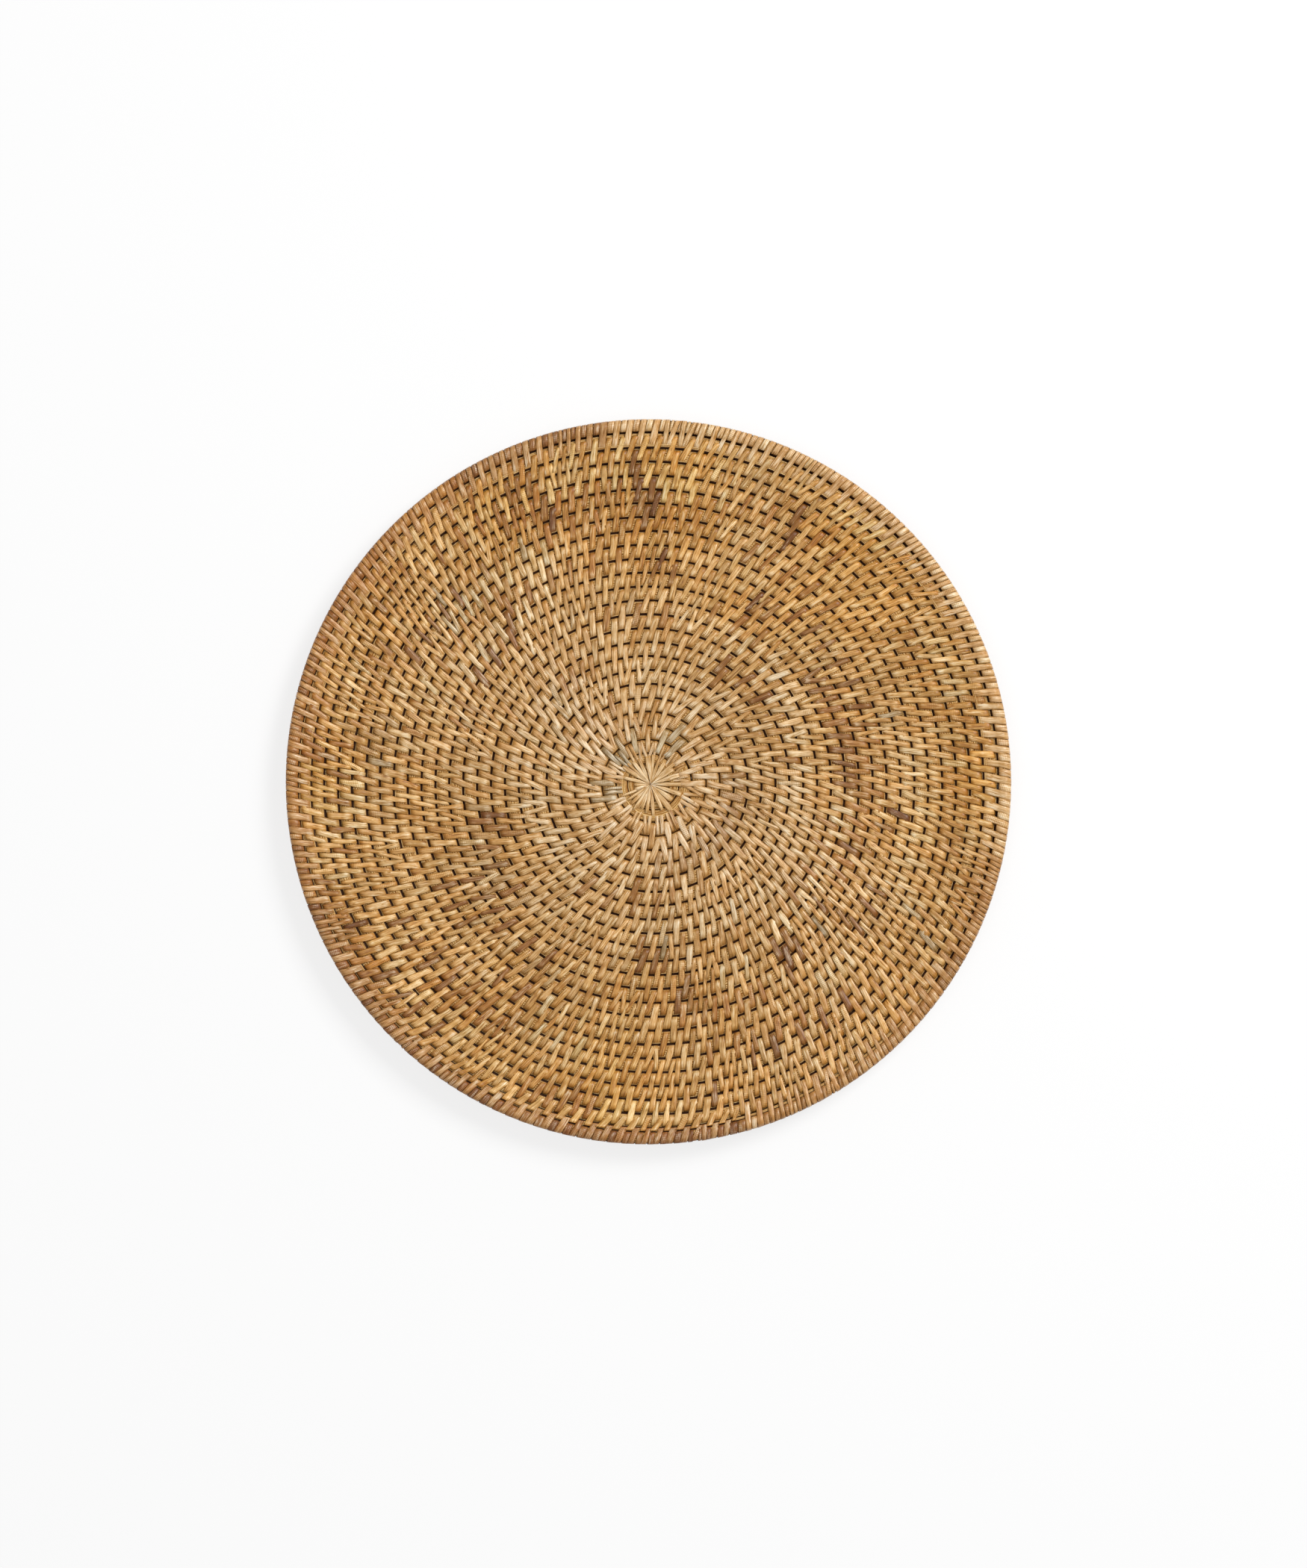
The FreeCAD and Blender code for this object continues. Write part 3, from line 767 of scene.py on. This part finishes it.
# Where the peel is more golden than elsewhere: angle, distance and reach.
GOLD_PLACES = (
    (90, 165, 40), (48, 160, 36), (180, 188, 26), (262, 166, 34), (2, 186, 22), (118, 172, 22),
)
GOLD_SHARE = 0.25
GOLD_START, GOLD_END = 90, 190  # between these distances the peel grows more golden outwards
GOLD_DEPTH = 0.2
PALE_DEPTH = 0.17
DRIFT_REACH = 38  # the tone drifts slowly over the basket
LIGHT_DRIFT = 0.11
BLUE_DRIFT = 0.14
GREEN_FOLLOWS = 0.25  # so far the green follows the blue
CALM_TONE = linear("e0bd88")  # towards the middle the tones differ less
CALM_SHARE = 0.45


def at_angle(angle, distance):
    """A point of the plan at this angle and distance from the spiral's middle."""
    ray = radians(angle)
    return Vector((cos(ray), sin(ray))) * distance


def tone_by_place(tone, spot):
    """A stitch's tone where its place changes it."""
    distance = spot.length
    angle = degrees(atan2(spot.y, spot.x)) % 360
    if weathered(angle, distance):
        return pick_tone(WEATHERED_TONES)
    for dark_angle, dark_distance, reach in DARK_PLACES:
        near = (spot - at_angle(dark_angle, dark_distance)).length < reach
        if near and tone_dice.random() < DARK_SHARE:
            return pick_tone(DARK_TONES)
    if distance < PALE_REACH:
        red, green, blue, alpha = pick_tone(LIGHT_TONES)
        return (red, green * PALE_GREEN, blue * PALE_BLUE, alpha)
    gold = min(max((distance - GOLD_START) / (GOLD_END - GOLD_START), 0), 1)
    pale = min(max((PALE_END - distance) / (PALE_END - PALE_REACH), 0), 1)
    red, green, blue, _ = Vector(tone).lerp(Vector(CALM_TONE), CALM_SHARE * pale)
    drift = (spot / DRIFT_REACH).to_3d()
    light = 1 + LIGHT_DRIFT * noise.noise(drift)
    pallor = BLUE_DRIFT * noise.noise(drift + UP) + PALE_DEPTH * pale - GOLD_DEPTH * gold
    for gold_angle, gold_distance, reach in GOLD_PLACES:
        away = (spot - at_angle(gold_angle, gold_distance)).length / reach
        pallor -= GOLD_SHARE * exp(-(away**2))
    green, blue = green * light * (1 + GREEN_FOLLOWS * pallor), blue * light * (1 + pallor)
    return (red * light, green, blue, 1)


ONE_TONE_SHARE = 0.6  # else a length of peel shows two tones in turn
RUN_LIGHT = (0.89, 1.14)
RUN_WARMTH = (-0.04, 0.04)


def tone_runs(count, tones, shortest, longest):
    """Tones of consecutive stitches: each length of peel sews some stitches before the next."""
    colours = []
    while len(colours) < count:
        length = tone_dice.randint(shortest, longest)
        pair = [pick_tone(tones), pick_tone(tones)]
        if tone_dice.random() < ONE_TONE_SHARE:
            pair[1] = pair[0]
        for number in range(length):
            light = tone_dice.uniform(*RUN_LIGHT)
            warm = tone_dice.uniform(*RUN_WARMTH)
            red, green, blue, alpha = pair[number % 2]
            red, blue = red * light * (1 + warm), blue * light * (1 - warm)
            colours.append((red, green * light, blue, alpha))
    return colours[:count]


FIELD_WRINKLES = 0.15  # this share of the strips has wrinkles
LASHING_WRINKLES = 0.8
GRAIN_REACH = 900  # each strip's grain starts somewhere along so many millimetres


def strip_row(outer, inner, along, outer_half, inner_half, tone, bumps=0.0, inward=None, over=0.0,
              wrinkles=FIELD_WRINKLES):
    """One strip's attributes, from its two cores."""
    (start, start_radius), (end, end_radius) = outer, inner
    inward = inward or (end - start).normalized()
    across = UP.cross(inward).normalized()
    lift = inward.cross(across)
    skew = abs(along.dot(across))
    grain_start = tone_dice.uniform(0, GRAIN_REACH)
    return dict(
        outer=start, inner=end, inward=inward, lift=lift, along=along,
        radii=(start_radius, end_radius, bumps),
        halves=(outer_half / skew, inner_half / skew, over),
        grain_start=grain_start, wrinkled=float(grain_start % 1 < wrinkles), tone=tone,
    )


STRIP_SIZES = dict(
    thickness=0.42, slack=0.18, dip=radians(32), wobble=0.8, rise=0.14, wedge=1000,
    hub_point=tuple(SPIRAL_MIDDLE), open_side=0, round_count=16, finer_level=0,
)


def make_strips(name, rows, **changed):
    """A piece from the rows of its strips."""
    columns = {key: [row[key] for row in rows] for key in rows[0]}
    seeds = seed_mesh(name, [(0, 0, 0)] * len(rows), **columns)
    return grow(name, seeds, STRIP, material=PEEL, **{**STRIP_SIZES, **changed})


def finish_piece(piece, slot_name, *nodes):
    """Hides the parts that the piece stands in for and attaches it to what it moves with; the name
    of its finish is not used.
    """
    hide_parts(*nodes)
    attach(piece, "root")


# The bundle, from the middle outwards.

RING_SPACING = 3.6  # along the bundle
RING_TURN = 0.09  # at most, in half turns


def bundle_points(first, last):
    """Points along the bundle, closer together where it turns tighter."""
    points = []
    way = first
    while way < last:
        points.append(way)
        way += min(RING_TURN, RING_SPACING / (pi * out_from_middle(way)))
    points.append(last)
    return points


SIDE_ROOM = 0.95
TAIL_SIDE_ROOM = 1.4
TAIL_TIP_ROOM = 0.5
HOOP_SIDE_ROOM = 0.3
TAIL_FADE = 40 / 180  # the last fine splints run on a little past the tail's end
BUNDLE_LUMPS = 0.0003
BUNDLE_GROOVE = 0.09


def make_bundle(name, places, closed=False, splints=24, thick_room=SIDE_ROOM, thin_room=SIDE_ROOM):
    """A length of bundle along these places, each with its centre and radius."""
    edges = [(number, number + 1) for number in range(len(places) - 1)]
    if closed:
        edges.append((len(places) - 1, 0))
    radii = [radius for _, radius in places]
    rooms = np.interp(radii, (TAIL_TIP, BUNDLE_RADIUS), (thin_room, thick_room))
    steps = [(after - before).length for (before, _), (after, _) in zip(places, places[1:])]
    runs = np.cumsum([0, *steps])
    points = [centre * MM for centre, _ in places]
    seeds = seed_mesh(name, points, edges, section=radii, room=rooms, run=runs)
    return grow(name, seeds, BUNDLE, splint_count=splints, groove=BUNDLE_GROOVE,
                lumps=BUNDLE_LUMPS, material=SPLINT)


def turn_nodes(kind, first, last):
    """The nodes of these turns, which are numbered from the start coil's last turn."""
    return [f"{kind}_turn_{turn - START_COIL_TURNS + 1:02d}" for turn in range(first, last)]


BUNDLES = (
    ("bundle_start", 0, START_COIL_TURNS, 9),
    ("bundle_inner", START_COIL_TURNS, 13, 24),
    ("bundle_middle", 13, 20, 24),
    ("bundle_outer", 20, ALL_TURNS, 24),
)
for name, first, last, splints in BUNDLES:
    ways = bundle_points(2 * first, 2 * last)
    places = [core(way) for way in ways]
    piece = make_bundle(name, places, splints=splints)
    nodes = turn_nodes("foundation", first, last) if first else ["start_coil"]
    finish_piece(piece, "splint", *nodes)

ways = bundle_points(SPIRAL_END, TAIL_END + TAIL_FADE)
places = [core(way) for way in ways]
piece = make_bundle("bundle_tail", places, thick_room=TAIL_SIDE_ROOM, thin_room=TAIL_TIP_ROOM)
finish_piece(piece, "splint", "foundation_tail")

HOOP_POINTS = 340
places = []
for number in range(HOOP_POINTS):
    centre, radius = hoop_core(2 * pi * number / HOOP_POINTS)
    # The hoop spreads inwards only.
    places.append((centre - Vector((centre.x, centre.y, 0)).normalized() * HOOP_SIDE_ROOM, radius))
piece = make_bundle("bundle_hoop", places, closed=True, thick_room=HOOP_SIDE_ROOM)
finish_piece(piece, "splint", "rim_hoop")

# The stitches.

stitches, rim_stitches = lay_stitches()
widths = strip_widths(stitches + rim_stitches)
SHAPE_SEED = 11
shape_dice = random.Random(SHAPE_SEED)
FIELD_RUN = (3, 12)  # so many stitches are sewn with one length of peel
tones = tone_runs(len(stitches), FIELD_TONES, *FIELD_RUN)

# The star: strips from the middle hole over the start coil.
STAR_HALF_WIDTHS = (0.95, 1.6)
STAR_CLOSING = 0.45  # the strips are pulled together until hardly a hole is left
STAR_SPLIT = 0.4  # this share of the star's strips is split in two
STAR_SPLIT_WIDTH = 0.75
STAR_SPREAD = radians(4.5)
STAR_STRAY = 0.05
STAR_REACH = (14.5, 18.4)
STAR_BARE = (180, 198)  # between these angles a strip is short, and bare splints show
STAR_BARE_REACH = 9
STAR_OVER = (0.1, 0.6)  # the strips lie over each other at different heights
STAR_WEDGE = 0.9 * tan(pi / STAR_STRIPS)
star_rows = []
for way, _, _ in stitches[:STAR_STRIPS]:
    place, radius = core(way)
    offset = place - SPIRAL_MIDDLE
    hub = SPIRAL_MIDDLE + UP * offset.z
    for turned in (-STAR_SPREAD, STAR_SPREAD) if shape_dice.random() < STAR_SPLIT else (0,):
        angle = atan2(offset.y, offset.x) + turned
        angle += shape_dice.uniform(-STAR_STRAY, STAR_STRAY)
        ray = Vector((cos(angle), sin(angle), 0))
        reach = shape_dice.uniform(*STAR_REACH)
        if STAR_BARE[0] <= degrees(angle) % 360 < STAR_BARE[1]:
            reach = STAR_BARE_REACH
        outer = (hub + ray * (reach - radius - STRIP_SLACK), radius)
        inner = (hub + ray * (STAR_EYE - STAR_CLOSING), STAR_EYE_RADIUS - STRIP_SLACK)
        half = shape_dice.uniform(*STAR_HALF_WIDTHS) * (STAR_SPLIT_WIDTH if turned else 1)
        over = shape_dice.uniform(*STAR_OVER)
        tone = pick_tone(STAR_TONES)
        star_rows.append(strip_row(outer, inner, UP.cross(ray), half, half, tone, over=over))
star = make_strips("star_of_strips", star_rows, dip=radians(8), rise=0.4, wobble=0.3,
                   finer_level=2, wedge=STAR_WEDGE)
finish_piece(star, "peel", "star_strips")

# The field. Next to the star a stitch is two narrow strips side by side, which dive early, so
# that the star's own strips show over the turn.
STAR_COVER = 1.2
STAR_SINK = 0.4
BY_STAR_FIT = (0.6, 0.8)
BY_STAR_SPREAD = 1.3
NUDGE = 0.55  # a stitch stands so far out of its even place
OUTER_FIT = (0.88, 1.06)
INNER_FIT = (0.84, 1.04)
FIELD_OVER = (0, 0.22)
FIELD_BUMPS = 0.03
rows_by_turn = {}
field = list(zip(stitches, widths, tones))[STAR_STRIPS:]
for (outer_way, inner_way, _), (outer_width, inner_width), tone in field:
    outer, inner = core(outer_way), core(inner_way)
    halfway = (outer[0] + inner[0]) / 2
    along = run_at(halfway, SPIRAL_MIDDLE)
    tone = tone_by_place(tone, (halfway - SPIRAL_MIDDLE).xy)
    by_star = inner_way < STAR_WAY + 2
    if by_star:
        inward = (inner[0] - outer[0]).normalized()
        inner = (inner[0] - inward * STAR_COVER - UP * STAR_SINK, inner[1])
    outer_fit, inner_fit = BY_STAR_FIT if by_star else (1, 1)
    for aside in (-1, 1) if by_star else (0,):
        nudge = shape_dice.uniform(-NUDGE, NUDGE)
        half = outer_width / 2 * shape_dice.uniform(*OUTER_FIT) * outer_fit
        inner_half = inner_width / 2 * shape_dice.uniform(*INNER_FIT) * inner_fit
        start = (outer[0] + along * (nudge + aside * half), outer[1])
        end = (inner[0] + along * (aside * inner_half * BY_STAR_SPREAD - nudge), inner[1])
        over = shape_dice.uniform(*FIELD_OVER)
        row = strip_row(start, end, along, half, inner_half, tone, bumps=FIELD_BUMPS, over=over)
        rows_by_turn.setdefault(min(int(outer_way / 2), ALL_TURNS), []).append(row)

STITCH_BANDS = (
    ("stitches_innermost", START_COIL_TURNS + 1, 10),
    ("stitches_inner", 10, 14),
    ("stitches_middle", 14, 17),
    ("stitches_outer", 17, 20),
    ("stitches_wide", 20, 23),
    ("stitches_widest", 23, ALL_TURNS),
)
for name, first, last in STITCH_BANDS:
    rows = [row for turn in range(first, last) for row in rows_by_turn.get(turn, [])]
    finish_piece(make_strips(name, rows), "peel", *turn_nodes("stitches", first, last))
finish_piece(make_strips("stitches_at_tail", rows_by_turn[ALL_TURNS]), "peel", "stitches_tail")

# The rim: long stitches over the hoop and the bundle inside it, and loops round the hoop alone.

# The lashing changes its peel: what it is called, the angle where it starts, and its tones.
LASHINGS = (
    ("straw", -12, (("ecd0a6", 3), ("e0be90", 2), ("f0dab4", 1))),
    ("umber", 97, (("b08350", 2), ("9c7042", 1))),
    ("orange", 122, (("bb8546", 3), ("cb9854", 2), ("a8763e", 1))),
    ("brown", 200, (("a77440", 3), ("b38550", 2), ("906234", 1))),
    ("tan", 285, (("c1955f", 2), ("d2a974", 2), ("aa804a", 1))),
)


def lashing_at(angle):
    """What the peel that lashes the hoop at this angle is called, and its tones."""
    start = LASHINGS[0][1]
    turned = (degrees(angle) - start) % 360 + start
    return [(name, tones) for name, begins, tones in LASHINGS if turned >= begins][-1]


HOOP_MIDDLE = Vector((0, 0, 0))
RIM_FIT = (0.94, 1.1)
RIM_BUMPS = 0.05
LASHING_BUMPS = 0.16
LASHING_POINTS = 18
RIM_BLEND = 0.5  # so far a rim stitch takes the tone of the lashing it lies on
RIM_RUN = (8, 24)
rim_rows = []
rim_angles = []
tones = tone_runs(len(rim_stitches), RIM_TONES, *RIM_RUN)
for (_, inner_way, shift), (_, width), tone in zip(rim_stitches, widths[len(stitches) :], tones):
    inner = core(inner_way)
    angle = atan2(inner[0].y, inner[0].x) - shift / HOOP_REACH
    outer = hoop_core(angle)
    along = run_at((outer[0] + inner[0]) / 2, HOOP_MIDDLE)
    half = width / 2 * shape_dice.uniform(*RIM_FIT)
    _, ((below, _), *_) = lashing_at(angle)
    tone = tuple(Vector(tone).lerp(Vector(linear(below)), RIM_BLEND))
    rim_rows.append(strip_row(outer, inner, along, half, half, tone, bumps=RIM_BUMPS))
    rim_angles.append((angle % (2 * pi), width))
finish_piece(make_strips("stitches_on_rim", rim_rows, open_side=1), "peel", "stitches_rim")

lashings = {name: [] for name, _, _ in LASHINGS}
rim_angles.sort()
after = rim_angles[1:] + [(rim_angles[0][0] + 2 * pi, rim_angles[0][1])]
for (angle, width), (next_angle, next_width) in zip(rim_angles, after):
    taken = (width + next_width) / 2 / LEAN_COSINE
    free = (next_angle - angle) * HOOP_REACH - taken
    count = max(1, round(free / LASHING_WIDTH))
    each = (free / count - LASHING_GAP) * LEAN_COSINE
    if each < LASHING_GAP:
        continue
    for number in range(count):
        place = angle + (width / 2 / LEAN_COSINE + free * (number + 0.5) / count) / HOOP_REACH
        around = hoop_core(place)
        along = run_at(around[0], HOOP_MIDDLE)
        inward = UP.cross(along) * cos(LEAN) + along * sin(LEAN)
        name, lashing_tones = lashing_at(place)
        tone = pick_tone(lashing_tones)
        row = strip_row(around, around, along, each / 2, each / 2, tone, bumps=LASHING_BUMPS,
                        inward=inward, wrinkles=LASHING_WRINKLES)
        lashings[name].append(row)
for name, rows in lashings.items():
    # A loop's points stand evenly round one core, so each half of them ends half a step early.
    piece = make_strips(f"rim_lashing_{name}_loops", rows, dip=radians(-180 / LASHING_POINTS),
                        round_count=LASHING_POINTS, rise=0.1, wobble=0.1, open_side=1)
    finish_piece(piece, f"peel_{name}", f"rim_lashing_{name}")

# Floor, lights and camera.

floor_mesh = bpy.data.meshes.new("floor")
FLOOR_REACH = 6
FLOOR_GLOW = 0.75
WORLD_LIGHT = 0.34
corners = [(x * FLOOR_REACH, y * FLOOR_REACH, 0) for x, y in ((-1, -1), (1, -1), (1, 1), (-1, 1))]
floor_mesh.from_pydata(corners, [], [(0, 1, 2, 3)])
floor = bpy.data.objects.new("floor", floor_mesh)
show(floor)
paper, node, shader = new_material("white_paper_floor")
shader.inputs["Base Color"].default_value = linear("ffffff")
shader.inputs["Roughness"].default_value = 0.9
floor_mesh.materials.append(paper)
# To the camera the paper is lit evenly, and only a trace of the basket's shadow is left on it.
path = node("LightPath")
glow = node("Math MULTIPLY", path, FLOOR_GLOW)
even = node("Emission", (1, 1, 1, 1), 1)
mixed = node("MixShader", glow, shader.outputs[0], even)
tree = paper.node_tree
tree.links.new(mixed, tree.nodes["Material Output"].inputs[0])

world = bpy.data.worlds.new("studio")
world.use_nodes = True
sky = world.node_tree
sky.nodes["Background"].inputs[0].default_value = (1, 1, 1, 1)
# The camera sees it white past the floor's edge, and it lights the basket less.
path = add(sky, "LightPath")
strength = add(sky, "MapRange", path, 0, 1, WORLD_LIGHT, 1)
sky.links.new(strength, sky.nodes["Background"].inputs[1])
scene.world = world


def softbox(name, place, size, power):
    """A square area light that faces the basket."""
    lamp = bpy.data.lights.new(name, "AREA")
    lamp.energy = power
    lamp.size = size
    holder = bpy.data.objects.new(name, lamp)
    holder.location = place
    holder.rotation_euler = Vector(place).to_track_quat("Z", "Y").to_euler()
    show(holder)


softbox("key_softbox", (1.2, 1.05, 1.7), 0.9, 38)
softbox("top_softbox", (-0.6, -0.3, 2.6), 1.4, 12)

camera_data = bpy.data.cameras.new("camera")
camera_data.lens = 85
camera_data.sensor_width = 36
camera_data.clip_end = 20
camera = bpy.data.objects.new("camera", camera_data)
camera.location = (0.0028, -0.0012, 2.059)
show(camera)
scene.camera = camera

scene.view_settings.view_transform = "Standard"
